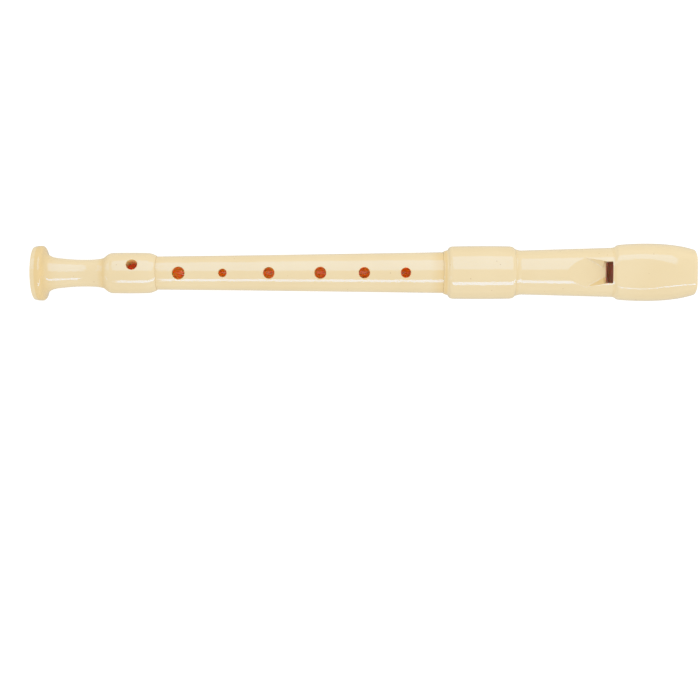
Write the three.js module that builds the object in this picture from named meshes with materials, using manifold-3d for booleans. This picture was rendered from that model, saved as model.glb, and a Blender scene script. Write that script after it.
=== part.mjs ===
// A soprano recorder in moulded plastic, lying on its back with the finger holes up.
//
// Millimetres, +Z up. The bore runs along X, from the foot's bell at -X to the mouthpiece at +X, and the
// origin is under the middle of its length, on the surface that it lies on. Each piece is drawn about the
// bore's axis first: "station" is the distance from the foot's end along the bore, and y and z are measured
// from the axis. The group at the end lifts the axis to the height at which the foot and the mouthpiece rest.
//
// Pieces, from the foot up: the foot joint, the middle joint with a tenon at each end, one seal ring on the
// lower tenon and two on the upper one, the head joint with its socket, ramp and lip, the block that closes
// the bore under the windway, and the mouthpiece cap that is pressed over the head joint's end.
import * as THREE from "three";
import { mergeVertices } from "three/addons/utils/BufferGeometryUtils.js";
import Module from "manifold-3d";

const wasm = await Module();
wasm.setup();

// Driving dimensions
const LENGTH = 325.6;
const REST_RADIUS = 13.5; // the bell's rim and the lowest line of the mouthpiece
const SIDES = 36; // flats round every turned piece, with one flat straight down
const HOLE_SIDES = 24;
const CURVE_STEPS = 3; // points along each curve of an outline
const GAP = 0.3; // between pieces that touch end to end
const SLIP = 0.15; // between pieces that slide in one another
const OVERSHOOT = 5; // how far a cutting tool reaches past the piece

// Stations along the bore
const FOOT_TOP = 60.3;
const MIDDLE_BOTTOM = FOOT_TOP + GAP;
const FOOT_TENON_END = 52.8;
const MIDDLE_TOP = 201.3;
const HEAD_BOTTOM = MIDDLE_TOP + GAP;
const HEAD_TENON_END = 224;
const RAMP_START = 262.1;
const RAMP_WALL_START = 270.5; // where its side walls begin
const LIP_EDGE = 280.9;
const WINDOW_END = 284.1;
const CAP_START = 285.2;
const CORE_END = 300;

// Radii
const BELL_MOUTH = 9;
const FOOT_BORE = 4.75;
const FOOT_WAIST = 6.6;
const FOOT_SOCKET = 7.15;
const MIDDLE_OUTER = [8.18, 9.02, 10.06]; // at the foot, half way and at the head
const MIDDLE_BORE = [5, 6.6]; // at the foot and at the head
const HEAD_SOCKET = 8.6;
const HEAD_BORE = 6.9;
const BARREL = 13.05;
const HEAD_OUTER = [10.85, 12.12]; // above the barrel and under the cap
const CORE = 10.4; // the head joint's thinner end inside the cap
const CAP = 14.2;

// The windway and the lip: distances from the axis, and half widths along Y
const WINDWAY_HALF_WIDTH = 5.1;
const WINDWAY_FLOOR = 6.2;
const WINDWAY_ROOF = 7.5;
const LIP_UNDERSIDE = 6.4;
const LIP_TOP = 6.8;
const RAMP_HALF_WIDTH = 7.1;
const FACET_HEIGHTS = [11.65, 12.6]; // the flat along the mouthpiece's front, at the window and at its highest
const TIP_TOP = 8.9; // the front of the tip, where the flat has rounded down
const CAP_WALL = 1.8; // under the block

// Seal rings, by the station of their middle
const FOOT_RING = { station: 56.4, outer: 7.06, inner: 6.35, width: 1.8 };
const LOWER_HEAD_RING = { station: 207.5, outer: 8.5, inner: 7.75, width: 2.4 };
const UPPER_HEAD_RING = { station: 219, outer: 8.5, inner: 7.75, width: 2.4 };
const RING_SLIP = 0.1;

// Tone holes: station, diameter, and the angle from straight up towards +Y
const FINGER_HOLES = [
  { station: 183, diameter: 4.9 },
  { station: 162.7, diameter: 5.4 },
  { station: 141.2, diameter: 5.7 },
  { station: 116, diameter: 5.5 },
  { station: 93.3, diameter: 4 },
  { station: 71.7, diameter: 6.1 },
];
const THUMB_HOLE = { station: 191.5, diameter: 5.2, angle: 180 };
const LITTLE_FINGER_HOLE = { station: 49, diameter: 5.4, angle: 26 };

// ---------------------------------------------------------------------------------------------------------
// Solids

// A closed three.js geometry as a manifold-3d solid, with the triangles that collapse at a merge left out.
function solidFrom(geometry, matrix = new THREE.Matrix4()) {
  const bare = new THREE.BufferGeometry();
  const flat = geometry.index ? geometry.toNonIndexed() : geometry;
  bare.setAttribute("position", flat.getAttribute("position").clone());
  bare.applyMatrix4(matrix);
  const merged = mergeVertices(bare, 1e-4);
  const corners = [];
  for (let i = 0; i < merged.index.count; i += 3) {
    const [a, b, c] = merged.index.array.slice(i, i + 3);
    if (a !== b && b !== c && c !== a) corners.push(a, b, c);
  }
  const mesh = new wasm.Mesh({
    numProp: 3,
    vertProperties: merged.attributes.position.array,
    triVerts: new Uint32Array(corners),
  });
  return new wasm.Manifold(mesh);
}

// A manifold-3d solid as a named mesh.
function meshFrom(solid, name, material) {
  const made = solid.getMesh();
  const geometry = new THREE.BufferGeometry();
  geometry.setAttribute("position", new THREE.BufferAttribute(made.vertProperties, 3));
  geometry.setIndex(new THREE.BufferAttribute(made.triVerts, 1));
  geometry.computeVertexNormals();
  const mesh = new THREE.Mesh(geometry, material);
  mesh.name = name;
  return mesh;
}

// The lathe turns about Y, so its axis is laid along X.
const AXIS_ALONG_X = new THREE.Matrix4().makeRotationZ(-Math.PI / 2);

// Turns an outline of (station, radius) about the bore's axis. The outline either starts and ends on the
// axis, or runs up the outside towards the mouthpiece and closes down the inside.
function turned(outline) {
  const profile = outline.getPoints(CURVE_STEPS).map((p) => new THREE.Vector2(p.y, p.x));
  if (profile[0].x > 0) profile.push(profile[0].clone());
  const halfSide = Math.PI / SIDES;
  return solidFrom(new THREE.LatheGeometry(profile, SIDES, halfSide), AXIS_ALONG_X);
}

function box([x0, x1], [y0, y1], [z0, z1]) {
  const centre = new THREE.Matrix4().makeTranslation((x0 + x1) / 2, (y0 + y1) / 2, (z0 + z1) / 2);
  return solidFrom(new THREE.BoxGeometry(x1 - x0, y1 - y0, z1 - z0), centre);
}

// A prism whose outline is seen from the side, in (station, z), as wide as 2 * halfWidth along Y.
function sidePrism(shape, halfWidth) {
  const upright = new THREE.Matrix4().makeRotationX(Math.PI / 2);
  const centred = new THREE.Matrix4().makeTranslation(0, halfWidth, 0);
  const depth = 2 * halfWidth;
  const geometry = new THREE.ExtrudeGeometry(shape, { depth, bevelEnabled: false, curveSegments: 6 });
  return solidFrom(geometry, centred.multiply(upright));
}

// A prism whose outline is seen from above, in (station, y), from z0 up to z1.
function planPrism(shape, z0, z1) {
  const geometry = new THREE.ExtrudeGeometry(shape, { depth: z1 - z0, bevelEnabled: false });
  return solidFrom(geometry, new THREE.Matrix4().makeTranslation(0, 0, z0));
}

// A drill from the axis outwards, leaning by its angle from straight up towards +Y.
function drill({ station, diameter, angle = 0 }) {
  const reach = BARREL + OVERSHOOT;
  const along = new THREE.CylinderGeometry(diameter / 2, diameter / 2, reach, HOLE_SIDES);
  const lean = new THREE.Matrix4().makeRotationX(Math.PI / 2 - THREE.MathUtils.degToRad(angle));
  const outwards = new THREE.Matrix4().makeTranslation(0, reach / 2, 0);
  const place = new THREE.Matrix4().makeTranslation(station, 0, 0);
  return solidFrom(along, place.multiply(lean).multiply(outwards));
}

const cutAll = (solid, tools) => tools.reduce((rest, tool) => rest.subtract(tool), solid);

// ---------------------------------------------------------------------------------------------------------
// The pieces

// Bell, waist and barrel in one moulding, with a chamfered mouth to the socket and a flare in the bell.
function footJoint() {
  const outline = new THREE.Path();
  outline.moveTo(0, 12.4);
  outline.quadraticCurveTo(0, 13.3, 2, REST_RADIUS);
  outline.lineTo(3.7, REST_RADIUS);
  outline.quadraticCurveTo(5.1, 13.1, 5.8, 11.4);
  outline.bezierCurveTo(6.8, 8.8, 8.3, 7.6, 15, 7.05);
  outline.quadraticCurveTo(20, FOOT_WAIST, 24.5, FOOT_WAIST);
  outline.quadraticCurveTo(31.5, 6.7, 33.8, 7.5);
  outline.bezierCurveTo(35.2, 8.4, 36, 9.85, 38.5, 9.92);
  outline.quadraticCurveTo(46.5, 10.1, 55, 9.92);
  outline.quadraticCurveTo(57, 9.85, 57.8, 9.45);
  outline.lineTo(FOOT_TOP, 8.5);
  outline.lineTo(FOOT_TOP, FOOT_SOCKET);
  outline.lineTo(FOOT_TENON_END - GAP, FOOT_SOCKET);
  outline.lineTo(FOOT_TENON_END - GAP, MIDDLE_BORE[0]);
  outline.lineTo(18, FOOT_BORE);
  outline.quadraticCurveTo(6, 5.2, 0, BELL_MOUTH);
  return turned(outline).subtract(drill(LITTLE_FINGER_HOLE));
}

// The tube under the fingers, with a tenon and its ring grooves at each end.
function middleJoint() {
  const footTenon = FOOT_SOCKET - SLIP;
  const headTenon = HEAD_SOCKET - SLIP;
  const outline = new THREE.Path();
  outline.moveTo(FOOT_TENON_END, footTenon);
  outline.lineTo(MIDDLE_BOTTOM, footTenon);
  outline.lineTo(MIDDLE_BOTTOM, MIDDLE_OUTER[0]);
  outline.lineTo((MIDDLE_BOTTOM + MIDDLE_TOP) / 2, MIDDLE_OUTER[1]);
  outline.lineTo(MIDDLE_TOP, MIDDLE_OUTER[2]);
  outline.lineTo(MIDDLE_TOP, headTenon);
  outline.lineTo(HEAD_TENON_END, headTenon);
  outline.lineTo(HEAD_TENON_END, MIDDLE_BORE[1]);
  outline.lineTo(FOOT_TENON_END, MIDDLE_BORE[0]);
  const rings = [FOOT_RING, LOWER_HEAD_RING, UPPER_HEAD_RING];
  const grooves = rings.map((ring) => turned(groove(ring)));
  return cutAll(turned(outline), [...grooves, ...FINGER_HOLES.map(drill), drill(THUMB_HOLE)]);
}

// A rectangle turned about the axis, between two stations and two radii.
function sleeve([from, to], [inner, outer]) {
  const outline = new THREE.Path();
  outline.moveTo(from, outer).lineTo(to, outer).lineTo(to, inner).lineTo(from, inner);
  return outline;
}

function groove({ station, inner, width }) {
  const half = width / 2 + RING_SLIP;
  return sleeve([station - half, station + half], [inner - RING_SLIP, BARREL]);
}

function sealRing({ station, inner, outer, width }) {
  return turned(sleeve([station - width / 2, station + width / 2], [inner, outer]));
}

// Socket in a thick barrel, bore, ramp, lip and window in one moulding. Its thinner end goes up inside the
// cap and is cut through for the windway.
function headJoint() {
  const outline = new THREE.Path();
  outline.moveTo(HEAD_BOTTOM, 10.25);
  outline.lineTo(202.6, 10.8);
  outline.lineTo(203.7, 11.2);
  outline.lineTo(204.1, 11.7);
  outline.quadraticCurveTo(204.6, 12.9, 206.4, BARREL - 0.12);
  outline.quadraticCurveTo(220.5, BARREL + 0.1, 234.6, BARREL - 0.15);
  outline.quadraticCurveTo(236.5, 12.7, 237, 11.7);
  outline.lineTo(237.6, 11.35);
  outline.lineTo(239.3, HEAD_OUTER[0]);
  outline.lineTo(CAP_START - GAP, HEAD_OUTER[1]);
  outline.lineTo(CAP_START - GAP, CORE);
  outline.lineTo(CORE_END, CORE);
  outline.lineTo(CORE_END, HEAD_BORE);
  outline.lineTo(HEAD_TENON_END + GAP, HEAD_BORE);
  outline.lineTo(HEAD_TENON_END + GAP, HEAD_SOCKET);
  outline.lineTo(HEAD_BOTTOM, HEAD_SOCKET);
  const across = [-WINDWAY_HALF_WIDTH, WINDWAY_HALF_WIDTH];
  const window = box([LIP_EDGE, WINDOW_END], across, [0, BARREL + OVERSHOOT]);
  const windway = box([WINDOW_END - 1, CORE_END + OVERSHOOT], across, [0, WINDWAY_ROOF]);
  const underLip = box([LIP_EDGE - 8, LIP_EDGE + 1], across, [0, LIP_UNDERSIDE]);
  return cutAll(turned(outline), [rampTool(), window, windway, underLip]);
}

// The ramp falls from the tube's front to the lip, between side walls that close in towards the window.
function rampTool() {
  const top = BARREL + OVERSHOOT;
  const side = new THREE.Shape();
  side.moveTo(RAMP_START, 11.46).lineTo(LIP_EDGE, LIP_TOP).lineTo(WINDOW_END, LIP_TOP);
  side.lineTo(WINDOW_END, top).lineTo(RAMP_START, top);
  const wide = RAMP_HALF_WIDTH + 1;
  const plan = new THREE.Shape();
  plan.moveTo(RAMP_START - 1, -wide).lineTo(RAMP_WALL_START, -RAMP_HALF_WIDTH);
  plan.lineTo(LIP_EDGE, -WINDWAY_HALF_WIDTH).lineTo(WINDOW_END, -WINDWAY_HALF_WIDTH);
  plan.lineTo(WINDOW_END, WINDWAY_HALF_WIDTH).lineTo(LIP_EDGE, WINDWAY_HALF_WIDTH);
  plan.lineTo(RAMP_WALL_START, RAMP_HALF_WIDTH).lineTo(RAMP_START - 1, wide);
  return sidePrism(side, wide).intersect(planPrism(plan, 0, top));
}

// A tool that takes away what lies under the mouthpiece's swept underside, or with an inset what lies that
// far inside it. The sweep leaves the line that the mouthpiece rests on and rises to the tip.
function undersideTool(inset) {
  const resting = inset - REST_RADIUS * Math.cos(Math.PI / SIDES);
  const start = CAP_START - OVERSHOOT;
  const deep = -CAP - OVERSHOOT;
  const sweep = new THREE.Shape();
  sweep.moveTo(start, resting);
  sweep.lineTo(291, resting);
  sweep.bezierCurveTo(302, resting, 309, inset - 2.6, LENGTH + 1, inset + 0.7);
  sweep.lineTo(LENGTH + 1, deep);
  sweep.lineTo(start, deep);
  return sidePrism(sweep, CAP + OVERSHOOT);
}

// The room in the cap above the head joint, which the block's upper part fills but for the clearance.
function mouthRoom(clearance) {
  const start = CORE_END + GAP + clearance;
  const end = LENGTH + OVERSHOOT;
  const outline = new THREE.Path();
  outline.moveTo(start, 0);
  outline.lineTo(start, CORE + SLIP - clearance);
  outline.lineTo(end, 8.6 - clearance);
  outline.lineTo(end, 0);
  const roof = WINDWAY_ROOF - clearance;
  const above = box([start - 1, end + 1], [-CAP, CAP], [roof, CAP]);
  return cutAll(turned(outline), [above, undersideTool(CAP_WALL + clearance)]);
}

// A round bar between two stations.
function bar([from, to], radius) {
  const outline = new THREE.Path();
  outline.moveTo(from, 0).lineTo(from, radius).lineTo(to, radius).lineTo(to, 0);
  return turned(outline);
}

// The beak: a barrel with a flat along its front and a swept underside, hollow for the head joint's end and
// for the block.
function mouthpieceCap() {
  const outline = new THREE.Path();
  outline.moveTo(CAP_START, 0);
  outline.lineTo(CAP_START, 12.2);
  outline.quadraticCurveTo(286.9, 12.4, 287.6, 13.35);
  outline.quadraticCurveTo(294, CAP, 302, CAP);
  outline.quadraticCurveTo(312, CAP, 319.8, 12.65);
  outline.lineTo(LENGTH - 0.6, 11.3);
  outline.quadraticCurveTo(LENGTH, 11.15, LENGTH, 10.6);
  outline.lineTo(LENGTH, 0);
  const facet = new THREE.Shape();
  facet.moveTo(CAP_START, FACET_HEIGHTS[0]).lineTo(290, 11.78).lineTo(296, 11.8);
  facet.bezierCurveTo(302, 11.85, 306, FACET_HEIGHTS[1], 313, FACET_HEIGHTS[1]);
  facet.bezierCurveTo(318, 12.7, 323, 11.9, LENGTH, TIP_TOP).lineTo(LENGTH + 1, TIP_TOP);
  facet.lineTo(LENGTH + 1, CAP + OVERSHOOT).lineTo(CAP_START, CAP + OVERSHOOT);
  const seat = bar([CAP_START - 1, CORE_END + GAP + 0.1], CORE + SLIP);
  return cutAll(turned(outline), [sidePrism(facet, CAP), undersideTool(0), seat, mouthRoom(0)]);
}

// The block: a plug in the head joint's bore with a raised floor along the windway, and a tapered upper part
// in the cap. The floor's edge at the window is chamfered.
function windwayBlock() {
  const shoulder = CORE_END + GAP + SLIP;
  const halfKey = WINDWAY_HALF_WIDTH - SLIP;
  const plug = bar([WINDOW_END, shoulder + 1], HEAD_BORE - SLIP);
  const key = box([WINDOW_END, shoulder + 1], [-halfKey, halfKey], [0, WINDWAY_FLOOR]);
  const aboveFloor = box([WINDOW_END - 1, LENGTH + 1], [-halfKey, halfKey], [WINDWAY_FLOOR, CAP]);
  const beyondTip = box([LENGTH - SLIP, LENGTH + 2 * OVERSHOOT], [-CAP, CAP], [-CAP, CAP]);
  const chamfer = new THREE.Shape();
  chamfer.moveTo(WINDOW_END - 1, WINDWAY_FLOOR - 2).lineTo(WINDOW_END + 1, WINDWAY_FLOOR);
  chamfer.lineTo(WINDOW_END - 1, WINDWAY_FLOOR + 1);
  const block = plug.add(key).add(mouthRoom(SLIP));
  return cutAll(block, [aboveFloor, beyondTip, sidePrism(chamfer, HEAD_BORE)]);
}

// ---------------------------------------------------------------------------------------------------------
// Materials and assembly

const cream = new THREE.MeshStandardMaterial({ color: 0xf0dcb2, roughness: 0.22, metalness: 0 });
const blockCream = new THREE.MeshStandardMaterial({ color: 0xe6cc9c, roughness: 0.4, metalness: 0 });
const rubber = new THREE.MeshStandardMaterial({ color: 0x2c2a28, roughness: 0.7, metalness: 0 });

const recorder = new THREE.Group();
recorder.add(
  meshFrom(footJoint(), "foot_joint", cream),
  meshFrom(sealRing(FOOT_RING), "foot_tenon_seal", rubber),
  meshFrom(middleJoint(), "middle_joint", cream),
  meshFrom(sealRing(LOWER_HEAD_RING), "head_tenon_seal_lower", rubber),
  meshFrom(sealRing(UPPER_HEAD_RING), "head_tenon_seal_upper", rubber),
  meshFrom(headJoint(), "head_joint", cream),
  meshFrom(windwayBlock(), "windway_block", blockCream),
  meshFrom(mouthpieceCap(), "mouthpiece_cap", cream),
);
recorder.position.set(-LENGTH / 2, 0, REST_RADIUS * Math.cos(Math.PI / SIDES));

const part = new THREE.Group();
part.add(recorder);

export default part;
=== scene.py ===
"""A soprano recorder in cream plastic, seen from above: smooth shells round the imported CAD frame.

Shapes are drawn about the bore's axis in millimetres, as (station, y, z): the station is the distance from
the foot's end along the bore, and y and z are measured from the axis. placed() turns such a point into the
frame's metres. The stations of the seams and the seals are read from the frame, so the shells stay in step
with the CAD model.
"""

import math

import bmesh
import bpy
import numpy as np
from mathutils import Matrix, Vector


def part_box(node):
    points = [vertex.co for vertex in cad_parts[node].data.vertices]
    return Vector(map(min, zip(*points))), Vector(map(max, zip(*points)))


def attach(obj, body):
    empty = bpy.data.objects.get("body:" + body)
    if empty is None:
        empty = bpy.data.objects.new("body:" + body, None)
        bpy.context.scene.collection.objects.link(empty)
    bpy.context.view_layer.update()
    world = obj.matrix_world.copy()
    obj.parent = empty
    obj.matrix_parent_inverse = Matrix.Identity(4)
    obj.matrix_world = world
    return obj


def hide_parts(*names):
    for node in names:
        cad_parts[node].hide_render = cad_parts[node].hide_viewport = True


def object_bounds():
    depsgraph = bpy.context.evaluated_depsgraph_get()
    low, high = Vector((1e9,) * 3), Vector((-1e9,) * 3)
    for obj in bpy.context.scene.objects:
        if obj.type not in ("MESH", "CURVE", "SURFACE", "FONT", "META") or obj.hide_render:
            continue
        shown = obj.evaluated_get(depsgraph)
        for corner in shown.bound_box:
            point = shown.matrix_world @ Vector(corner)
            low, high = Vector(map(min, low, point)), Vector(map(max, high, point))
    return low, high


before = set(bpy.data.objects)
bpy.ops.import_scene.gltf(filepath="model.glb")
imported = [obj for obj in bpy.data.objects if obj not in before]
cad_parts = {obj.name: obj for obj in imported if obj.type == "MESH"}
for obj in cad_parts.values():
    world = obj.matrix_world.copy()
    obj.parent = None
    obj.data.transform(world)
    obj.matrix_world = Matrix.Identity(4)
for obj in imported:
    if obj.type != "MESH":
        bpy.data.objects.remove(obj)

CAD_LOW, CAD_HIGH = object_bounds()
MM = 0.001
TAU = 2 * math.pi


def station_span(node):
    """The stations between which a CAD node lies."""
    return [(corner[0] - CAD_LOW[0]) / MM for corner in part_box(node)]


def placed(point):
    """A (station, y, z) point in the frame's metres."""
    s, y, z = point
    return Vector((CAD_LOW[0] + s * MM, y * MM, AXIS_HEIGHT + z * MM))


def node_radius(node):
    """The largest distance of a round CAD node from the bore's axis."""
    low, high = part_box(node)
    return (high[1] - low[1]) / 2 / MM


AXIS_HEIGHT = sum(corner[2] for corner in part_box("head_tenon_seal_upper")) / 2

# Stations, from the frame
LENGTH = (CAD_HIGH[0] - CAD_LOW[0]) / MM
FOOT_TOP = station_span("foot_joint")[1]
FOOT_TENON_END, HEAD_TENON_END = station_span("middle_joint")
HEAD_BOTTOM, CORE_END = station_span("head_joint")
CAP_START = station_span("mouthpiece_cap")[0]
WINDOW_END = station_span("windway_block")[0]

# Where the shells meet at the seams that show, which are nearly closed
MIDDLE_BOTTOM = FOOT_TOP + 0.01
MIDDLE_TOP = HEAD_BOTTOM - 0.04
TUBE_END = CAP_START - 0.6

# Clearances inside the joints: at a tenon's end, round it, and at each side of a seal in its groove
GAP = 0.3
SLIP = 0.15
GROOVE_SLACK = 0.1

# Radii; a tuple goes from the lower end to the upper
BELL = 13.5
BELL_MOUTH = 9.0
FOOT_WAIST = 6.6
FOOT_BORE = 4.75
FOOT_SOCKET = 7.15
MIDDLE_OUTER = (8.18, 8.69, 9.36, 10.06)
MIDDLE_BORE = (5.0, 6.6)
HEAD_SOCKET = 8.6
HEAD_BORE = 6.9
HEAD_OUTER = (10.85, 12.12)
BARREL = 13.05
CORE = 10.4
CAP = node_radius("mouthpiece_cap")

# Windway, lip and ramp
WINDWAY_HALF_WIDTH = 5.08
WINDWAY_ROOF = 7.5
WINDWAY_CUT_START = 273
WINDWAY_CUT_BOTTOM = 3
WINDOW_TOP_END = WINDOW_END - 0.25
UNDERCUT = 0.25
LIP_EDGE = 280.9
LIP_UNDERSIDE = 6.4
LIP_TOP = 6.8
LIP_STRIP_START = 279.6
LIP_STRIP_HEIGHT = 7.05
RAMP_START = 261.9
RAMP_START_HEIGHT = 11.48
RAMP_BLEND = 0.15
RAMP_WALL_START = 270.4
RAMP_HALF_WIDTH = 7.1
NOTCH_HALF_WIDTH = 5.15
WALL_DRAFT = 0.12
WALL_TOP_ROUND = 0.5
COVE_START = 270.4
COVE_WIDTH = 3.3
COVE_SLOPE = 0.95
COVE_ROUND = 0.25

# Mouthpiece. The facet's edges are rounded more towards the tip, and each side of the tip is rounded over a
# length by a drop.
FACET_START_HEIGHT = 11.65
FACET_ROUNDS = (1.0, 2.0)
FACET_ROUND_STATIONS = (308, 318)
CAP_LEAD = 1.2
CAP_LEAD_RISE = 1.6
CAP_LEAD_FALL = 4
CAP_LEAD_END = 292
UNDERSIDE_ROUND = 1.6
NEARLY_LEVEL = 0.05
CAP_WALL = 1.8
CAP_STEP_END = 290
MOUTH_HALF_WIDTH = 8.6
MOUTH_FLARE = 0.25
TIP_SIDE = (0.3, 0.3)
TIP_TOP = (0.3, 0.3)
TIP_UNDERSIDE = (1.4, 1.2)

# Meshes: columns round a shell, and the patches left open for the tone holes, which reach PATCH_COLUMNS to
# each side of the hole's middle and PATCH_MARGIN beyond its edge. A hole's rim goes RIM_INSIDE of the way
# from outside to inside.
COLUMNS = 96
CAP_COLUMNS = 192
CAP_ROWS = 70
TIP_ROWS = 14
RAMP_ROWS = 76
PATCH_COLUMNS = 11
PATCH_ROWS = 12
PATCH_MARGIN = 0.75
PATCH_CLEAR = 0.3
RIM_ROUND = 0.35
RIM_STEPS = 5
RIM_INSIDE = 0.5
LOOP_SHARES = (0.35, 0.7, 1.0)
CURVE_STEPS = 10
SHARP_ANGLE = math.radians(33)
WELD = 1e-3 * MM

# What a vertex stores as its inside: 0 outside, 1 in a bore, 2 in the head's bore
OUTSIDE, IN_BORE, IN_HEAD = 0, 1, 2

# Painted shade in the flares, steps and seams, by station: how far the colour is deepened towards the shaded
# golden tone
STEP_PAINTED_SHADE = [
    (2.0, 0), (2.15, 0.85), (3.2, 0.85), (5.3, 0.75), (7.3, 0.45), (9.5, 0.15), (12, 0),
    (31.5, 0), (34.2, 0.75), (35.8, 0.3), (37.5, 0),
    (59.9, 0), (60.3, 0.3), (60.7, 0),
    (201, 0), (201.3, 0.8), (201.8, 0.4), (202.6, 1), (203.3, 0.6), (203.9, 0),
    (236.6, 0), (237.2, 0.3), (238.6, 0),
    (284, 0), (284.1, 0.9), (284.4, 0.3), (285.6, 0.2), (285.9, 0),
]

# Painted shade in the coves beside the ramp: how strong it is, and over which share of their width, on the
# -Y and +Y sides
COVE_PAINTED_SHADE = [(0.95, 1.0), (0.75, 0.25)]
COVE_SHADE_EDGE = 0.4
COVE_SHADE_FADE = 1.2

# Tone holes: station, diameter, and degrees from straight up towards +Y
FINGER_HOLES = [
    (183.0, 4.9, 0),
    (162.7, 5.4, 0),
    (141.2, 5.7, 0),
    (116.0, 5.5, 0),
    (93.3, 4.0, 0),
    (71.7, 6.1, 0),
]
THUMB_HOLE = (191.5, 5.2, 180)
LITTLE_FINGER_HOLE = (49.0, 5.4, 26)


# ---------------------------------------------------------------------------------------------------------
# Curves


def bezier(controls, steps):
    """Points along a Bezier curve, without its first."""
    points = []
    for k in range(1, steps + 1):
        level = controls
        while len(level) > 1:
            level = [lerp(p, q, k / steps) for p, q in zip(level, level[1:])]
        points.append(level[0])
    return points


class Outline:
    """A chain of (station, radius) points."""

    def __init__(self, s, radius):
        self.points = [(s, radius)]

    def line(self, *points):
        self.points += points
        return self

    def curve(self, *controls, steps=CURVE_STEPS):
        self.points += bezier([self.points[-1], *controls], steps)
        return self

    def radius(self, s):
        """The radius at a station, on an outline that climbs or falls steadily."""
        points = self.points if self.points[0][0] < self.points[-1][0] else self.points[::-1]
        return float(np.interp(s, [p[0] for p in points], [p[1] for p in points]))


def rounded_off(into, length, drop):
    """How far a rounded end has come down, some way into its length."""
    into = min(max(into, 0), length)
    return drop * (1 - math.sqrt(1 - (into / length) ** 2))


def smooth_min(a, b, blend):
    """The smaller of two numbers, rounded where they are within blend of each other."""
    overlap = max(blend - abs(a - b), 0) / blend
    return min(a, b) - overlap * overlap * blend / 4


def smooth_step(t):
    """A number from 0 to 1, eased at both ends."""
    t = min(max(t, 0), 1)
    return t * t * (3 - 2 * t)


def ring(s, radius, angles):
    """A row of points round the bore. An angle is from straight up towards +Y."""
    return [(s, radius * math.sin(a), radius * math.cos(a)) for a in angles]


def even_angles(count, start=0.0):
    return [start + TAU * k / count for k in range(count)]


def lerp(p, q, t):
    """The point some way from one point to another."""
    return tuple(a + (b - a) * t for a, b in zip(p, q))


# ---------------------------------------------------------------------------------------------------------
# Meshes


class Skin:
    """A closed surface of quads over rows of points that go round the bore, each row joined to the next and
    the last to the first. Patches can be left open for holes. Every vertex stores two numbers for the
    material: its inside, and its corner, which is how much painted shade it gets."""

    def __init__(self, rows, insides):
        self.bm = bmesh.new()
        self.inside = self.bm.verts.layers.float.new("inside")
        # The corner layer holds how much painted shade a vertex gets
        self.corner = self.bm.verts.layers.float.new("corner")
        self.rows = rows
        self.insides = insides
        self.made = {}
        self.left_open = set()

    def vertex(self, point, inside, corner=None):
        made = self.bm.verts.new(placed(point))
        made[self.inside] = inside
        made[self.corner] = painted_shade_at(*point) if corner is None else corner
        return made

    def at(self, row, column):
        key = (row % len(self.rows), column % len(self.rows[0]))
        if key not in self.made:
            self.made[key] = self.vertex(self.rows[key[0]][key[1]], self.insides[key[0]])
        return self.made[key]

    def leave_open(self, rows, columns):
        for a, b in zip(rows, rows[1:]):
            for column in columns[:-1]:
                self.left_open.add((min(a, b), column % len(self.rows[0])))

    def strip(self, loop, next_loop):
        """Quads between two closed loops of vertices."""
        for k in range(len(loop)):
            self.bm.faces.new((loop[k - 1], loop[k], next_loop[k], next_loop[k - 1]))

    def build(self, name):
        """Makes the quads and the object."""
        for row in range(len(self.rows)):
            for column in range(len(self.rows[0])):
                if (row, column) in self.left_open:
                    continue
                corners = [(row, column), (row, column + 1), (row + 1, column + 1), (row + 1, column)]
                self.bm.faces.new([self.at(*corner) for corner in corners])
        bmesh.ops.remove_doubles(self.bm, verts=self.bm.verts, dist=WELD)
        bmesh.ops.recalc_face_normals(self.bm, faces=self.bm.faces)
        mesh = bpy.data.meshes.new(name)
        self.bm.to_mesh(mesh)
        self.bm.free()
        return smooth_object(name, mesh)


def smooth_object(name, mesh):
    """An object of a mesh, smooth but for its sharp edges."""
    mesh.shade_smooth()
    mesh.set_sharp_from_angle(angle=SHARP_ANGLE)
    made = bpy.data.objects.new(name, mesh)
    bpy.context.scene.collection.objects.link(made)
    return made


def patch_half(hole):
    """Half the length of the patch left open for a hole."""
    return hole[1] / 2 + PATCH_MARGIN


def with_patch_rows(points, holes):
    """The outline's points with evenly spaced ones across each hole's patch, and where those are, in order
    of station."""
    outline = Outline(0, 0)
    outline.points = points
    climbing = points[0][0] < points[-1][0]
    spans = [(hole[0] - patch_half(hole), hole[0] + patch_half(hole)) for hole in holes]

    def clear(s):
        return not any(low - PATCH_CLEAR < s < high + PATCH_CLEAR for low, high in spans)

    tagged = [(s, r, None) for s, r in points if clear(s)]
    for index, (low, high) in enumerate(spans):
        stations = np.linspace(low, high, PATCH_ROWS + 1)
        tagged += [(float(s), outline.radius(s), index) for s in stations]
    tagged.sort(key=lambda point: point[0] if climbing else -point[0])
    rows = [[k for k, point in enumerate(tagged) if point[2] == index] for index in range(len(holes))]
    if not climbing:
        rows = [found[::-1] for found in rows]
    return [point[:2] for point in tagged], rows


def loop_round(rows, columns):
    """The (row, column) places round a patch."""
    loop = [(rows[0], column) for column in columns]
    loop += [(row, columns[-1]) for row in rows[1:]]
    loop += [(rows[-1], column) for column in columns[-2::-1]]
    loop += [(row, columns[0]) for row in rows[-2:0:-1]]
    return loop


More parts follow.
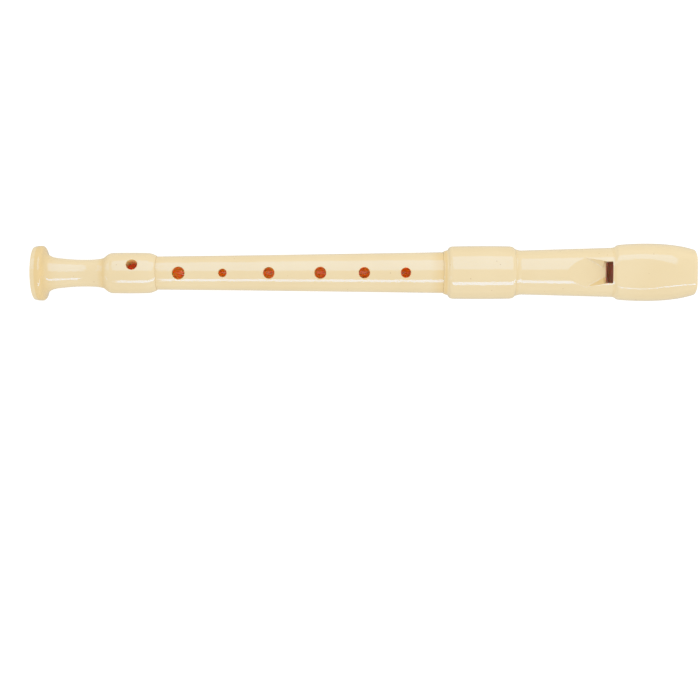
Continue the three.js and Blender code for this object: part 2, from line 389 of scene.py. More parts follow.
def pierce(skin, hole, outer_rows, inner_rows, outer, inner, lean):
    """A round hole with a rounded rim, from the outer to the inner surface of a turned shell."""
    centre, diameter, degrees = hole
    radius = diameter / 2
    tilt = math.radians(degrees)
    step = TAU / COLUMNS
    middle_column = round((tilt - lean) / step)
    columns = list(range(middle_column - PATCH_COLUMNS, middle_column + PATCH_COLUMNS + 1))

    def on(surface, along, across, drop=0.0):
        height = math.sqrt(surface.radius(centre + along) ** 2 - across**2) - drop
        y = across * math.cos(tilt) + height * math.sin(tilt)
        return (centre + along, y, height * math.cos(tilt) - across * math.sin(tilt))

    def edge_of(surface, rows):
        places = []
        for row, column in loop_round(rows, columns):
            s = skin.rows[row][0][0]
            places.append((s - centre, surface.radius(s) * math.sin((column - middle_column) * step)))
        return places

    outer_edge = edge_of(outer, outer_rows)
    inner_edge = edge_of(inner, inner_rows)
    around = [math.atan2(across, along) for along, across in outer_edge]

    def circle(size):
        return [(size * math.cos(a), size * math.sin(a)) for a in around]

    def between(places, others, t):
        return [lerp(p, q, t) for p, q in zip(places, others)]

    rim_start = circle(radius + RIM_ROUND)
    loops = [[skin.at(*place) for place in loop_round(outer_rows, columns)]]
    for t in LOOP_SHARES:
        loops.append([skin.vertex(on(outer, *p), OUTSIDE) for p in between(outer_edge, rim_start, t)])
    # The rounded rim gets painted shade that deepens towards the hole
    for k in range(1, RIM_STEPS + 1):
        share = k / RIM_STEPS
        turn = share * math.pi / 2
        places = circle(radius + RIM_ROUND * (1 - math.sin(turn)))
        drop = RIM_ROUND * (1 - math.cos(turn))
        loops.append([skin.vertex(on(outer, *p, drop), RIM_INSIDE * share, share) for p in places])
    wall = circle(radius)
    tops = [on(outer, *p, RIM_ROUND) for p in wall]
    bottoms = [on(inner, *p) for p in wall]
    # The hole's wall is painted in the bore's colour of light through the plastic, with painted shade
    # deepest at its top
    for t in LOOP_SHARES:
        points = between(tops, bottoms, t)
        loops.append([skin.vertex(point, min(t + 0.45, 1), 1.1 - 0.6 * t) for point in points])
    for t in (0.4, 0.7):
        loops.append([skin.vertex(on(inner, *p), IN_BORE) for p in between(wall, inner_edge, t)])
    loops.append([skin.at(*place) for place in loop_round(inner_rows, columns)])
    for loop, next_loop in zip(loops, loops[1:]):
        skin.strip(loop, next_loop)
    skin.leave_open(outer_rows, columns)
    skin.leave_open(inner_rows, columns)


def turned_shell(name, outer, inner, holes=(), lean=0.0):
    """A shell between an outer outline that climbs and an inner one that comes back, with tone holes."""
    outer_points, outer_rows = with_patch_rows(outer.points, holes)
    inner_points, inner_rows = with_patch_rows(inner.points, holes)
    angles = even_angles(COLUMNS, lean)
    skin = Skin(
        [ring(s, radius, angles) for s, radius in outer_points + inner_points],
        [OUTSIDE] * len(outer_points) + [IN_BORE] * len(inner_points),
    )
    for hole, up, down in zip(holes, outer_rows, inner_rows):
        down = [row + len(outer_points) for row in down]
        pierce(skin, hole, up, down, outer, inner, lean)
    return skin.build(name)


# ---------------------------------------------------------------------------------------------------------
# Pieces


def foot_shell():
    """Bell, waist and barrel, with the little-finger hole."""
    outer = Outline(0, 12.75)
    outer.curve((0, 13.12), (0.9, 13.27), (2.0, 13.39)).line((2.15, 13.44))
    outer.curve((2.6, BELL), (3.8, BELL)).curve((4.8, BELL), (5.3, 12.5))
    outer.curve((5.75, 10.75), (6.25, 8.1), (8.9, 7.62), (15, 7.12), steps=20)
    outer.curve((20, FOOT_WAIST), (24.5, FOOT_WAIST), steps=12)
    outer.curve((31.8, FOOT_WAIST), (34.1, 7.5), steps=12)
    outer.curve((35.5, 8.4), (36.3, 9.85), (38.8, 9.92), steps=14)
    outer.curve((46.5, 10.1), (55, 9.92), steps=16)
    outer.curve((57.2, 9.85), (58, 9.5))
    outer.curve((59.6, 8.95), (60.1, 8.6)).curve((FOOT_TOP, 8.45), (FOOT_TOP, 8.25), steps=4)
    inner = Outline(FOOT_TOP, FOOT_SOCKET + 0.25)
    inner.line((FOOT_TOP - 0.3, FOOT_SOCKET), (FOOT_TENON_END - GAP, FOOT_SOCKET))
    inner.line((FOOT_TENON_END - GAP, MIDDLE_BORE[0]), (18, FOOT_BORE))
    inner.curve((6, 5.2), (0.6, BELL_MOUTH - 0.3), steps=16).curve((0.1, 9.1), (0, 9.7), steps=6)
    lean = math.radians(LITTLE_FINGER_HOLE[2])
    return turned_shell("foot_shell", outer, inner, [LITTLE_FINGER_HOLE], lean)


def add_groove(outline, node, floor, surface):
    """Carries an outline down into and out of the groove that holds a seal."""
    low, high = station_span(node)
    low -= GROOVE_SLACK
    high += GROOVE_SLACK
    bevel = 0.15
    outline.line((low - bevel, surface), (low, surface - bevel), (low, floor))
    outline.line((high, floor), (high, surface - bevel), (high + bevel, surface))


def middle_shell():
    """The tube under the fingers, with its tenons."""
    foot_tenon = FOOT_SOCKET - SLIP
    head_tenon = HEAD_SOCKET - SLIP
    low, *between, high = MIDDLE_OUTER
    outer = Outline(FOOT_TENON_END, foot_tenon - 0.4).line((FOOT_TENON_END + 0.5, foot_tenon))
    add_groove(outer, "foot_tenon_seal", 6.25, foot_tenon)
    outer.line((MIDDLE_BOTTOM, foot_tenon), (MIDDLE_BOTTOM, low - 0.08))
    outer.curve((MIDDLE_BOTTOM, low), (MIDDLE_BOTTOM + 0.08, low), steps=5)
    for k, radius in enumerate(between, 1):
        outer.line((MIDDLE_BOTTOM + (MIDDLE_TOP - MIDDLE_BOTTOM) * k / (len(between) + 1), radius))
    outer.line((MIDDLE_TOP - 0.2, high)).curve((MIDDLE_TOP, high), (MIDDLE_TOP, high - 0.2), steps=5)
    outer.line((MIDDLE_TOP, head_tenon))
    add_groove(outer, "head_tenon_seal_lower", 7.65, head_tenon)
    add_groove(outer, "head_tenon_seal_upper", 7.65, head_tenon)
    outer.line((HEAD_TENON_END - 0.6, head_tenon), (HEAD_TENON_END, head_tenon - 0.5))
    inner = Outline(HEAD_TENON_END, MIDDLE_BORE[1]).line((FOOT_TENON_END, MIDDLE_BORE[0]))
    return turned_shell("middle_shell", outer, inner, [*FINGER_HOLES, THUMB_HOLE])


def seal_band(node):
    """A rubber band with a crowned outside in its groove."""
    low, high = station_span(node)
    radius = node_radius(node)
    floor = radius - 0.72
    outer = Outline(low, radius - 0.25).curve((low, radius - 0.02), (low + 0.35, radius - 0.02), steps=5)
    outer.curve(((low + high) / 2, radius + 0.03), (high - 0.35, radius - 0.02), steps=6)
    outer.curve((high, radius - 0.02), (high, radius - 0.25), steps=5)
    inner = Outline(high, floor + 0.1).line((high - 0.1, floor), (low + 0.1, floor), (low, floor + 0.1))
    return turned_shell(node + "_band", outer, inner)


# Columns of the head on each side, from the ramp's middle line: its floor, its side wall with the rounded
# top, and round the back. The columns go from even ones to the ramp's in BLEND_ROWS rows over BLEND_LENGTH,
# and from even ones to the window's along BORE_BLEND inside.
FLOOR_COLUMNS = 32
WALL_COLUMNS = 3
TOP_COLUMNS = 5
BACK_COLUMNS = 56
BLEND_ROWS = 11
BLEND_LENGTH = 7
BORE_BLEND = (240, 270)
HALF_COLUMNS = FLOOR_COLUMNS + WALL_COLUMNS + TOP_COLUMNS + BACK_COLUMNS


def head_outline():
    """The head joint's outside, up to where its thinner end goes into the cap."""
    outer = Outline(HEAD_BOTTOM, 10.1)
    outer.curve((HEAD_BOTTOM, 10.35), (202.7, 10.75), steps=6).curve((203.5, 10.95), (203.95, 11.2), steps=6)
    outer.line((204.15, 11.5)).curve((204.7, 12.9), (206.7, BARREL - 0.13), steps=12)
    outer.curve((220.5, BARREL + 0.13), (234.3, BARREL - 0.14), steps=14)
    outer.curve((236.3, 12.75), (236.9, 11.75), steps=12).line((237.1, 11.5))
    outer.curve((238.2, 11.3), (239.2, HEAD_OUTER[0] + 0.1), steps=8)
    outer.curve((240, HEAD_OUTER[0]), (241.5, HEAD_OUTER[0] + 0.04), steps=5)
    return outer.line((TUBE_END, HEAD_OUTER[1]))


def head_interior():
    """The core that goes into the cap, and back down the bore and the socket."""
    inside = Outline(TUBE_END, CORE).line((CORE_END - 0.4, CORE), (CORE_END, CORE - 0.4))
    inside.line((CORE_END, HEAD_BORE), (280, HEAD_BORE), (250, HEAD_BORE), (HEAD_TENON_END + GAP, HEAD_BORE))
    inside.line((HEAD_TENON_END + GAP, HEAD_SOCKET), (HEAD_BOTTOM + 0.5, HEAD_SOCKET))
    return inside.line((HEAD_BOTTOM, HEAD_SOCKET + 0.4))


def ramp_height(s):
    """The height of the ramp's floor over the axis."""
    stations = [RAMP_START, LIP_STRIP_START, LIP_EDGE]
    heights = [RAMP_START_HEIGHT, LIP_STRIP_HEIGHT, LIP_TOP]
    if s < RAMP_START:
        slope = (heights[1] - heights[0]) / (stations[1] - stations[0])
        return heights[0] + slope * (s - RAMP_START)
    return float(np.interp(s, stations, heights))


def ramp_half_width(s):
    """The distance of the ramp's side walls from the middle line, which narrows towards the lip."""
    stations = [2 * RAMP_WALL_START - LIP_EDGE, RAMP_WALL_START, LIP_EDGE]
    widths = [2 * RAMP_HALF_WIDTH - NOTCH_HALF_WIDTH, RAMP_HALF_WIDTH, NOTCH_HALF_WIDTH]
    return float(np.interp(s, stations, widths))


def cove(s, y, wall):
    """How far the ramp's floor slopes up towards a side wall, between the wall's start and the lip strip."""
    growth = (s - COVE_START) / (LIP_STRIP_START - COVE_START)
    if not 0 < growth <= 1:
        return 0.0
    into = y - (wall - COVE_WIDTH * growth)
    return COVE_SLOPE * (math.hypot(max(into, 0), COVE_ROUND) - COVE_ROUND)


def ramp_side(s, tube, cut=True):
    """The (y, z) points of one side of the head's section through the ramp, from its middle line to the
    bottom. Without the cut they lie on the round tube."""
    wall = ramp_half_width(s)

    def on_tube(y):
        return math.sqrt(tube**2 - y**2)

    floor = []
    for k in range(FLOOR_COLUMNS + 1):
        y = wall * k / FLOOR_COLUMNS
        height = on_tube(y)
        if cut:
            height = smooth_min(height, ramp_height(s) + cove(s, y, wall), RAMP_BLEND)
        floor.append((y, height))
    top_y = wall + WALL_DRAFT
    rise = on_tube(top_y) - floor[-1][1]
    rounding = min(WALL_TOP_ROUND, max(0.7 * rise, 0))
    top_end = top_y + 0.9 * WALL_TOP_ROUND
    wall_top = (top_y, on_tube(top_y) - rounding)
    side = []
    for k in range(1, WALL_COLUMNS + 1):
        t = k / WALL_COLUMNS
        side.append(lerp(floor[-1], wall_top, t))
    side += bezier([wall_top, (top_y, on_tube(top_y)), (top_end, on_tube(top_end))], TOP_COLUMNS)
    if not cut:
        side = [(y, on_tube(y)) for y, _ in side]
    first = math.asin(top_end / tube)
    turns = [first + (math.pi - first) * k / BACK_COLUMNS for k in range(1, BACK_COLUMNS + 1)]
    return floor + side + [(tube * math.sin(a), tube * math.cos(a)) for a in turns]


def both_sides(s, side):
    """A whole row from the points of its +Y side."""
    return [(s, y, z) for y, z in side] + [(s, -y, z) for y, z in side[-2:0:-1]]


def painted_shade_at(s, y, z):
    """How much painted shade a point gets, up to 1: in the flares and steps, and beside the ramp's side
    walls, where shade falls in the hollows."""
    tone = float(np.interp(s, *zip(*STEP_PAINTED_SHADE)))
    wall = ramp_half_width(s)
    if z > 0 and COVE_START - 1 < s <= LIP_EDGE and abs(y) <= wall + WALL_DRAFT / 2:
        strength, share = COVE_PAINTED_SHADE[0 if y < 0 else 1]
        growth = max(s - COVE_START, 0) / (LIP_EDGE - COVE_START)
        start = wall - COVE_SHADE_EDGE - share * COVE_WIDTH * growth
        tone = max(tone, strength * smooth_step((abs(y) - start) / COVE_SHADE_FADE))
    return tone


def undercut(row, tube):
    """A section's points moved up the bore by as much as they are below the tube, so that the window's upper
    wall leans back under its edge."""
    return [(s + UNDERCUT * (tube - math.hypot(y, z)), y, z) for s, y, z in row]


def head_shell():
    """Barrel, tube, ramp, lip and window."""
    outer = head_outline()
    even = even_angles(2 * HALF_COLUMNS)
    blend_start = RAMP_START - BLEND_LENGTH
    row_start = RAMP_START - 0.5

    def angles_at(s):
        side = ramp_side(s, outer.radius(s), cut=False)
        return [math.atan2(y, z) % TAU for _, y, z in both_sides(s, side)]

    ramp_angles = angles_at(row_start)
    window_angles = angles_at(WINDOW_TOP_END)

    def blended(angles, t):
        return [a + (b - a) * t for a, b in zip(even, angles)]

    rows = [ring(s, r, even) for s, r in outer.points if s < blend_start]
    for k in range(BLEND_ROWS):
        t = k / BLEND_ROWS
        s = blend_start + (row_start - blend_start) * t
        rows.append(ring(s, outer.radius(s), blended(ramp_angles, t)))
    stations = list(np.linspace(row_start, LIP_STRIP_START, RAMP_ROWS))
    stations += [LIP_STRIP_START + 0.02, 280.2, 280.8, 281.5, 282.4, 283.3, WINDOW_TOP_END]
    rows += [both_sides(s, ramp_side(s, outer.radius(s))) for s in stations]
    rows.append(undercut(rows[-1], outer.radius(WINDOW_TOP_END)))
    top, bottom = FACET_START_HEIGHT + 0.1, -HEAD_OUTER[1]
    for s in (WINDOW_TOP_END, TUBE_END):
        rows.append(clipped(window_angles, s, outer.radius(s), top, bottom, (0.6, 0.6)))
    outside_count = len(rows)
    inside = head_interior().points
    for s, radius in inside:
        t = float(np.interp(s, BORE_BLEND, (0, 1)))
        rows.append(ring(s, radius, blended(window_angles, t)))
    head = Skin(rows, [OUTSIDE] * outside_count + [IN_HEAD] * len(inside)).build("head_shell")
    return cut_away(head, windway_cutter())


def windway_cutter():
    """What is cut away for the window, the windway and the space under the lip, seen from the side."""
    start, bottom, end = WINDWAY_CUT_START, WINDWAY_CUT_BOTTOM, CORE_END + 1
    side = [(start, bottom), (start, LIP_UNDERSIDE), (LIP_EDGE, LIP_UNDERSIDE), (LIP_EDGE, 8)]
    side += [(WINDOW_END, 8), (WINDOW_END + 0.5, WINDWAY_ROOF), (end, WINDWAY_ROOF), (end, bottom)]
    bm = bmesh.new()
    edges = (-WINDWAY_HALF_WIDTH, WINDWAY_HALF_WIDTH)
    near, far = [[bm.verts.new(placed((s, y, z))) for s, z in side] for y in edges]
    bm.faces.new(near)
    bm.faces.new(far[::-1])
    for k in range(len(side)):
        bm.faces.new((near[k - 1], near[k], far[k], far[k - 1]))
    bmesh.ops.recalc_face_normals(bm, faces=bm.faces)
    mesh = bpy.data.meshes.new("windway_cutter")
    bm.to_mesh(mesh)
    bm.free()
    cutter = bpy.data.objects.new("windway_cutter", mesh)
    bpy.context.scene.collection.objects.link(cutter)
    return cutter


def cut_away(piece, cutter):
    """The piece with the cutter taken out of it, and the cutter removed."""
    modifier = piece.modifiers.new("cut", "BOOLEAN")
    modifier.solver = "EXACT"
    modifier.use_self = True
    modifier.object = cutter
    bpy.context.view_layer.update()
    evaluated = piece.evaluated_get(bpy.context.evaluated_depsgraph_get())
    name = piece.name
    mesh = bpy.data.meshes.new_from_object(evaluated)
    bpy.data.objects.remove(cutter)
    bpy.data.objects.remove(piece)
    mesh.name = name
    return smooth_object(name, mesh)


def cap_outline():
    """The mouthpiece's outside, seen from the front."""
    outer = Outline(TUBE_END + 0.01, HEAD_OUTER[1] + 0.02)
    outer.curve((286, 12.15), (286.7, 12.6), (287.4, 13.22), steps=14)
    outer.curve((287.8, 13.45), (289.2, 13.62), steps=8)
    outer.curve((295, CAP), (302, CAP), steps=14).curve((312, CAP), (319.8, 12.65), steps=18)
    return outer.curve((324, 11.75), (LENGTH, 11.1), steps=16)


def facet_outline():
    """The height of the flat along the mouthpiece's front: it rises until the body is as low, and at the tip
    it rounds down."""
    facet = Outline(TUBE_END + 0.01, FACET_START_HEIGHT + 0.12)
    facet.curve((285, FACET_START_HEIGHT), (285.6, FACET_START_HEIGHT), steps=6)
    facet.line((290, 11.78), (296, 11.8))
    facet.curve((302, 11.85), (306, 12.6), (313, 12.6), steps=14)
    return facet.curve((318, 12.7), (323, 11.9), (LENGTH, 8.9), steps=24)


def cap_lead(s, z):
    """How much nearer to the foot the step up to the mouthpiece is on its front than at its sides. It grows
    from the mouthpiece's edge and has died away by CAP_LEAD_END."""
    weight = min((s - TUBE_END) / CAP_LEAD_RISE, max(CAP_LEAD_END - s, 0) / CAP_LEAD_FALL, 1)
    return CAP_LEAD * weight * (max(z, 0) / FACET_START_HEIGHT) ** 2


def underside_outline():
    """The height of the mouthpiece's underside over the axis, from the line that it rests on to the tip."""
    resting = (CAD_LOW[2] - AXIS_HEIGHT) / MM
    under = Outline(CAP_START, resting).line((291, resting))
    return under.curve((302, resting), (309, -2.6), (LENGTH + 1, 0.7), steps=40)


def clipped(angles, s, radius, top, bottom, rounds):
    """A row of a round bar with its top and its bottom cut off level and the edges rounded. Rays that point
    nearly level miss both cuts."""
    centre = (min(top, radius) + max(bottom, -radius)) / 2
    points = []
    for angle in angles:
        across, up = math.sin(angle), math.cos(angle)
        reach = math.sqrt(radius**2 - (centre * across) ** 2) - centre * up
        if up > NEARLY_LEVEL:
            reach = smooth_min(reach, (top - centre) / up, rounds[0])
        if up < -NEARLY_LEVEL:
            reach = smooth_min(reach, (bottom - centre) / up, rounds[1])
        points.append((s, reach * across, centre + reach * up))
    return points


def cap_shell():
    """The beak: a round body with a flat along its front and a swept underside, hollow inside."""
    outer = cap_outline()
    facet = facet_outline()
    under = underside_outline()
    angles = even_angles(CAP_COLUMNS)
    round_length = max(TIP_SIDE[0], TIP_TOP[0], TIP_UNDERSIDE[0])
    round_start = LENGTH - round_length
    stations = [p[0] for p in outer.points if p[0] < CAP_STEP_END]
    stations += list(np.linspace(CAP_STEP_END + 0.4, round_start, CAP_ROWS))
    turns = [k / TIP_ROWS * math.pi / 2 for k in range(1, TIP_ROWS + 1)]
    stations += [round_start + round_length * math.sin(turn) for turn in turns]

    def rounding(s, extent):
        return rounded_off(s - (LENGTH - extent[0]), *extent)

    rows = []
    for s in stations:
        radius = outer.radius(s) - rounding(s, TIP_SIDE)
        top = facet.radius(s) - rounding(s, TIP_TOP)
        bottom = under.radius(s) + rounding(s, TIP_UNDERSIDE)
        facet_round = float(np.interp(s, FACET_ROUND_STATIONS, FACET_ROUNDS))
        row = clipped(angles, s, radius, top, bottom, (facet_round, UNDERSIDE_ROUND))
        rows.append([(s - cap_lead(s, z), y, z) for _, y, z in row])
    outside_count = len(rows)
    room_start = CORE_END + GAP
    for s in [LENGTH, LENGTH - 0.3, *np.linspace(LENGTH - 2, room_start, 14)]:
        t = (s - room_start) / (LENGTH + 5 - room_start)
        radius = CORE + SLIP + (MOUTH_HALF_WIDTH - CORE - SLIP) * t
        flare = MOUTH_FLARE if s == LENGTH else 0
        bottom = under.radius(s) + CAP_WALL
        rows.append(clipped(angles, s, radius + flare, WINDWAY_ROOF + flare, bottom, (0.15, 0.15)))
    rows.append(ring(room_start, CORE + SLIP, angles))
    rows.append(ring(outer.points[0][0], CORE + SLIP, angles))
    insides = [OUTSIDE] * outside_count + [IN_BORE] * (len(rows) - outside_count)
    return Skin(rows, insides).build("mouthpiece_shell")


# ---------------------------------------------------------------------------------------------------------
# Materials


def new_material(name):
    """A material with its nodes, its links and its shader."""
    material = bpy.data.materials.new(name)
    material.use_nodes = True
    nodes = material.node_tree.nodes
    return material, nodes, material.node_tree.links, nodes["Principled BSDF"]


def srgb(red, green, blue):
    """A linear colour from sRGB numbers up to 255."""
    def linear(c):
        c /= 255
        return c / 12.92 if c <= 0.04045 else ((c + 0.055) / 1.055) ** 2.4
    return (linear(red), linear(green), linear(blue), 1.0)


def noise(nodes, links, coordinates, scale, detail=2.0, roughness=0.5):
    """A noise between 0 and 1, mostly near 0.5."""
    node = nodes.new("ShaderNodeTexNoise")
    node.inputs["Scale"].default_value = scale
    node.inputs["Detail"].default_value = detail
    node.inputs["Roughness"].default_value = roughness
    links.new(coordinates, node.inputs["Vector"])
    return node.outputs["Fac"]


def map_range(nodes, links, value, source, target):
    """A socket's value carried from the source range to the target range."""
    node = nodes.new("ShaderNodeMapRange")
    node.inputs["From Min"].default_value, node.inputs["From Max"].default_value = source
    node.inputs["To Min"].default_value, node.inputs["To Max"].default_value = target
    links.new(value, node.inputs["Value"])
    return node.outputs["Result"]


def mix_colour(nodes, links, factor, a, b):
    """A colour mix whose two sides are colours or sockets."""
    node = nodes.new("ShaderNodeMix")
    node.data_type = "RGBA"
    links.new(factor, node.inputs["Factor"])
    for socket, value in ((node.inputs["A"], a), (node.inputs["B"], b)):
        if isinstance(value, tuple):
            socket.default_value = value
        else:
            links.new(value, socket)
    return node.outputs["Result"]


def stored(nodes, name):
    """A number stored on the vertices."""
    node = nodes.new("ShaderNodeAttribute")
    node.attribute_name = name
    return node.outputs["Fac"]


def cream_plastic():
    """Polished cream plastic, slightly uneven in tone, with small specks and faint handling marks; painted
    shade makes it deeper in corners, flares and steps, and it is painted deeper in the bore, in the colour
    that light coming through the plastic gives it."""
    material, nodes, links, shader = new_material("cream_plastic")
    place = nodes.new("ShaderNodeTexCoord").outputs["Object"]
    tone = noise(nodes, links, place, 45, detail=3)
    tone = map_range(nodes, links, tone, (0.35, 0.65), (0, 1))
    colour = mix_colour(nodes, links, tone, CREAM, CREAM_DEEPER)
    specks = nodes.new("ShaderNodeTexVoronoi")
    specks.inputs["Scale"].default_value = 170
    links.new(place, specks.inputs["Vector"])
    speck = map_range(nodes, links, specks.outputs["Distance"], (0.03, 0.06), (0.55, 0))
    colour = mix_colour(nodes, links, speck, colour, SPECK)
    # Painted shade: the corner number deepens the colour towards the shaded golden tone
    colour = mix_colour(nodes, links, stored(nodes, "corner"), colour, CREAM_PAINTED_SHADE)
    depth = map_range(nodes, links, stored(nodes, "inside"), (0.1, 1), (0, 1))
    inside_head = map_range(nodes, links, stored(nodes, "inside"), (1, 2), (0, 1))
    # Painted light in the bore: the colour that light coming through the plastic gives it, deeper on a
    # hole's wall and paler in the head's bore
    bore = mix_colour(nodes, links, stored(nodes, "corner"), BORE_TONE, HOLE_WALL_TONE)
    bore = mix_colour(nodes, links, inside_head, bore, HEAD_BORE_TONE)
    colour = mix_colour(nodes, links, depth, colour, bore)
    links.new(colour, shader.inputs["Base Color"])
    links.new(depth, shader.inputs["Subsurface Weight"])
    reach = mix_colour(nodes, links, depth, SKIN_REACH, WALL_REACH)
    reach = mix_colour(nodes, links, inside_head, reach, HEAD_REACH)
    links.new(reach, shader.inputs["Subsurface Radius"])
    shader.inputs["Subsurface Scale"].default_value = MM
    smudge = noise(nodes, links, place, 110, detail=4, roughness=0.6)
    links.new(map_range(nodes, links, smudge, (0.3, 0.75), (0.05, 0.1)), shader.inputs["Roughness"])
    shader.inputs["IOR"].default_value = 1.5
    bump = nodes.new("ShaderNodeBump")
    bump.inputs["Strength"].default_value = 0.03
    bump.inputs["Distance"].default_value = 0.00004
    links.new(noise(nodes, links, place, 900, detail=2), bump.inputs["Height"])
    links.new(bump.outputs["Normal"], shader.inputs["Normal"])
    return material


def block_plastic():
    """The block's duller plastic, browner where little light reaches it at the window."""
    material, nodes, links, shader = new_material("block_plastic")
    place = nodes.new("ShaderNodeTexCoord").outputs["Object"]
    tone = map_range(nodes, links, noise(nodes, links, place, 70, detail=3), (0.35, 0.65), (0, 1))
    colour = mix_colour(nodes, links, tone, BLOCK, BLOCK_DEEPER)
    parts = nodes.new("ShaderNodeSeparateXYZ")
    links.new(place, parts.inputs["Vector"])
    shade_ends = [placed((s, 0, 0)).x for s in (WINDOW_END, WINDOW_END + BLOCK_SHADE_LENGTH)]
    shade = map_range(nodes, links, parts.outputs["X"], shade_ends, (1, 0))
    shaded = mix_colour(nodes, links, shade, colour, BLOCK_SHADED)
    top_ends = [placed((0, 0, z)).z for z in BLOCK_SHADE_HEIGHTS]
    top = map_range(nodes, links, parts.outputs["Z"], top_ends, (0.2, 1))
    links.new(mix_colour(nodes, links, top, colour, shaded), shader.inputs["Base Color"])
    fine = noise(nodes, links, place, 600)
    links.new(map_range(nodes, links, fine, (0.3, 0.7), (0.3, 0.42)), shader.inputs["Roughness"])
    return material


def seal_rubber():
    """Greased black rubber."""
    material, nodes, links, shader = new_material("seal_rubber")
    place = nodes.new("ShaderNodeTexCoord").outputs["Object"]
    fine = noise(nodes, links, place, 900, detail=3)
    colour = mix_colour(nodes, links, fine, srgb(38, 36, 35), srgb(58, 55, 53))
    links.new(colour, shader.inputs["Base Color"])
    links.new(map_range(nodes, links, fine, (0.3, 0.7), (0.45, 0.65)), shader.inputs["Roughness"])
    return material


# The cream plastic outside, with its slow changes of tone, its painted shade in corners, flares and steps,
# and its specks
CREAM = srgb(243, 223, 180)
CREAM_DEEPER = srgb(241, 220, 175)
CREAM_PAINTED_SHADE = srgb(238, 208, 147)
SPECK = srgb(196, 160, 110)

# The same plastic where light comes through it: in a bore, on a hole's wall and in the head's bore
BORE_TONE = srgb(247, 203, 146)
HOLE_WALL_TONE = srgb(246, 198, 136)
HEAD_BORE_TONE = srgb(252, 232, 220)

# How far light travels in the plastic, in millimetres for red, green and blue
SKIN_REACH = (4.0, 1.6, 0.6, 1.0)
WALL_REACH = (13.0, 5.0, 4.0, 1.0)
HEAD_REACH = (20.0, 7.5, 6.5, 1.0)

# The block, and its shaded end in the window
BLOCK = srgb(226, 190, 138)
BLOCK_DEEPER = srgb(216, 178, 124)
BLOCK_SHADED = srgb(158, 88, 72)
BLOCK_SHADE_LENGTH = 8
BLOCK_SHADE_HEIGHTS = (-2.5, 1)


def dress(piece, material):
    """Gives a piece its one material."""
    piece.data.materials.clear()
    piece.data.materials.append(material)


# ---------------------------------------------------------------------------------------------------------
# Camera, floor and light

# In metres over the axis, metres, degrees and millimetres
CAMERA_HEIGHT = 0.712
CAMERA_X = -0.0071
CAMERA_TILT = -3.074
CAMERA_ROLL = -0.085
LENS = 73.95
SENSOR = 36

# Metres
FLOOR_HALF = 8
FLOOR_DROP = 0.0002


def add_camera():
    """Above the bore, looking down with +X to the right and +Y up the picture. The tilt puts the recorder in
    the upper half of the picture."""
    data = bpy.data.cameras.new("camera")
    data.lens = LENS
    data.sensor_width = SENSOR
    camera = bpy.data.objects.new("camera", data)
    camera.location = (CAMERA_X, 0, AXIS_HEIGHT + CAMERA_HEIGHT)
    camera.rotation_euler = (math.radians(CAMERA_TILT), 0, math.radians(CAMERA_ROLL))
    bpy.context.scene.collection.objects.link(camera)
    bpy.context.scene.camera = camera


def add_floor():
    """A pale floor that is bright enough to show as white, with hardly a shadow."""
    bm = bmesh.new()
    signs = [(-1, -1), (1, -1), (1, 1), (-1, 1)]
    height = CAD_LOW[2] - FLOOR_DROP
    bm.faces.new([bm.verts.new((x * FLOOR_HALF, y * FLOOR_HALF, height)) for x, y in signs])
    mesh = bpy.data.meshes.new("floor")
    bm.to_mesh(mesh)
    bm.free()
    floor = bpy.data.objects.new("floor", mesh)
    bpy.context.scene.collection.objects.link(floor)
    material, _, _, shader = new_material("floor_white")
    shader.inputs["Base Color"].default_value = (0.3, 0.3, 0.3, 1)
    shader.inputs["Roughness"].default_value = 1.0
    shader.inputs["Specular IOR Level"].default_value = 0.0
    shader.inputs["Emission Color"].default_value = (1, 1, 1, 1)
    shader.inputs["Emission Strength"].default_value = FLOOR_GLOW
    dress(floor, material)
    floor.visible_glossy = False


def add_world():
    """An even white room, darker below the horizon, where only the gloss sees it."""
    world = bpy.data.worlds.new("studio")
    world.use_nodes = True
    nodes, links = world.node_tree.nodes, world.node_tree.links
    direction = nodes.new("ShaderNodeTexCoord").outputs["Generated"]
    parts = nodes.new("ShaderNodeSeparateXYZ")
    links.new(direction, parts.inputs["Vector"])
    strength = map_range(nodes, links, parts.outputs["Z"], (-0.3, -0.05), (WORLD_BELOW, WORLD_STRENGTH))
    background = nodes["Background"]
    background.inputs["Color"].default_value = (1, 1, 1, 1)
    links.new(strength, background.inputs["Strength"])
    bpy.context.scene.world = world


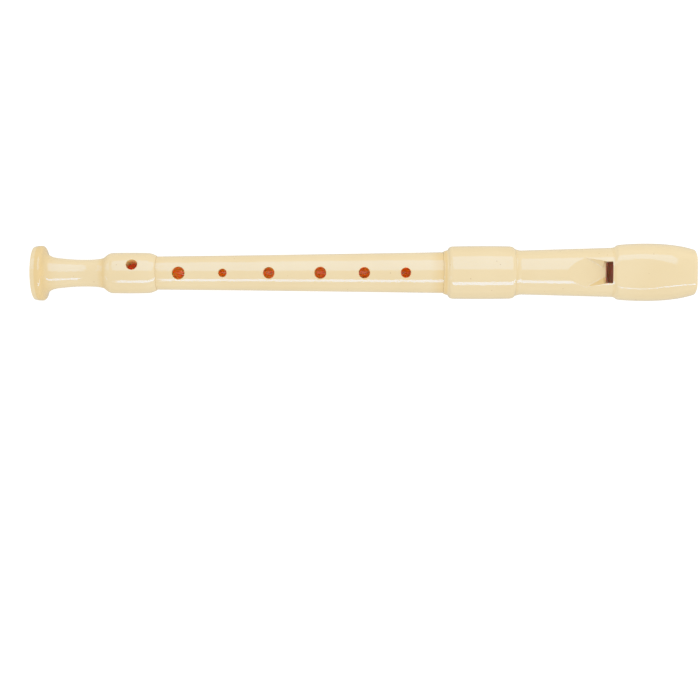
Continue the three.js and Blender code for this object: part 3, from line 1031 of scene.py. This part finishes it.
def add_panel(name, angle, spread, ends, radiance, colour, glossy=True):
    """A rectangular light over the recorder that only shows in its gloss, or only lights it without gloss.
    angle is from straight up towards +Y and spread is what it covers of that turn, both in degrees, and it
    lies between the two ends along X."""
    data = bpy.data.lights.new(name, "AREA")
    data.shape = "RECTANGLE"
    data.size = ends[1] - ends[0]
    data.size_y = 2 * PANEL_DISTANCE * math.tan(math.radians(spread / 2))
    data.energy = radiance * 4 * data.size * data.size_y
    data.color = colour
    light = bpy.data.objects.new(name, data)
    turn = math.radians(angle)
    across, up = PANEL_DISTANCE * math.sin(turn), PANEL_DISTANCE * math.cos(turn)
    light.location = ((ends[0] + ends[1]) / 2, across, AXIS_HEIGHT + up)
    light.rotation_euler = (-turn, 0, 0)
    light.visible_glossy = glossy
    light.visible_diffuse = not glossy
    bpy.context.scene.collection.objects.link(light)


PANEL_DISTANCE = 0.8
WORLD_STRENGTH = 0.913
WORLD_BELOW = 0.5
FLOOR_GLOW = 0.83

# The glossy panels are cool, so that their highlights are near white over the warm plastic
COOL = (0.3, 0.95, 1.9)
COOL_STRIP = (0.38, 1.0, 2.1)
KEY_TINT = (1.0, 0.97, 0.95)


def add_lights():
    """A wide soft box and a narrow strip seen in the gloss, each with a far part for the ends that lean
    towards the foot, and a soft key without gloss."""
    add_panel("soft_box_gloss", 44.7, 61.6, (-0.31, 0.52), 1.25, COOL)
    add_panel("soft_box_far_gloss", 44.7, 50, (-2.0, -0.5), 0.7, COOL)
    add_panel("strip_gloss", -48.7, 15, (-0.27, 2.0), 2.9, COOL_STRIP)
    add_panel("strip_far_gloss", -48.7, 15, (-2.4, -1.3), 2.9, COOL_STRIP)
    add_panel("key", 30, 60, (0.1, 0.9), 0.32, KEY_TINT, glossy=False)


# ---------------------------------------------------------------------------------------------------------
# The scene

add_camera()
add_world()
add_floor()
add_lights()

cream = cream_plastic()
rubber = seal_rubber()
for piece, node, body in (
    (foot_shell(), "foot_joint", "foot"),
    (middle_shell(), "middle_joint", "middle"),
    (head_shell(), "head_joint", "head"),
    (cap_shell(), "mouthpiece_cap", "head"),
):
    dress(piece, cream)
    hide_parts(node)
    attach(piece, body)

for node, body in (
    ("foot_tenon_seal", "foot_seal"),
    ("head_tenon_seal_lower", "head_seals"),
    ("head_tenon_seal_upper", "head_seals"),
):
    band = seal_band(node)
    dress(band, rubber)
    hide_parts(node)
    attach(band, body)

dress(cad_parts["windway_block"], block_plastic())

bpy.context.scene.view_settings.view_transform = "Standard"
